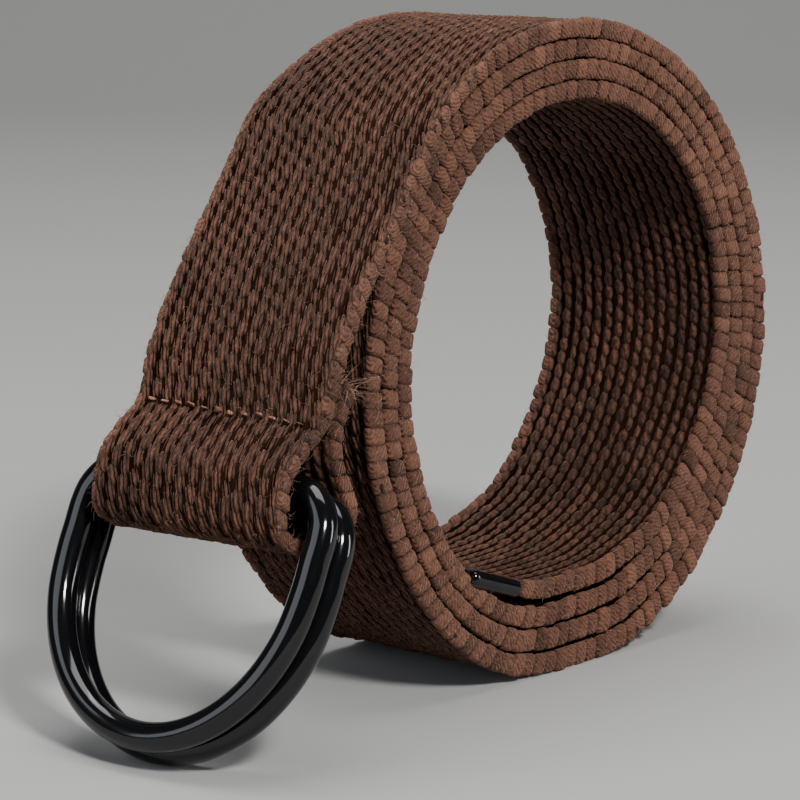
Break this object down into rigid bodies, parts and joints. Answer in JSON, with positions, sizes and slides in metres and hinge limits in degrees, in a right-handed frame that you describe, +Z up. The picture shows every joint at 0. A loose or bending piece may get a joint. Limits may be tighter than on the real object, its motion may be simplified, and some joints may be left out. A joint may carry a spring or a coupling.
{
  "type": "webbing belt",
  "caption": "Cotton webbing belt with two D-rings sewn into a folded loop and a metal tip, coiled and stood on its outer turn.",
  "frame": {"origin": "on the surface the belt stands on, in the middle of the flattened foot of the outer turn", "axes": "+Z up; Y along the coil's axis, across the webbing; -X towards the hanging ring end"},
  "size_m": [0.1448, 0.052, 0.1071],
  "materials": {
    "canvas": "matt dark brown cotton webbing, coarse weave",
    "enamel": "gloss black enamel",
    "tip_enamel": "gloss black enamel"
  },
  "bodies": {
    "strap": {"strap": "canvas", "end_tip": "tip_enamel"},
    "front_ring": {"front_d_ring": "enamel"},
    "back_ring": {"back_d_ring": "enamel"}
  },
  "joints": [
    {"name": "front_ring_swing", "type": "hinge", "parent": "strap", "child": "front_ring", "pos_m": [-0.07173, -0.0065, 0.0413], "axis": [-0.0872, 0.9962, 0], "range_deg": [0, 165]},
    {"name": "back_ring_swing", "type": "hinge", "parent": "strap", "child": "back_ring", "pos_m": [-0.0677, -0.00615, 0.03843], "axis": [-0.0872, 0.9962, 0], "range_deg": [-68, 0]}
  ]
}
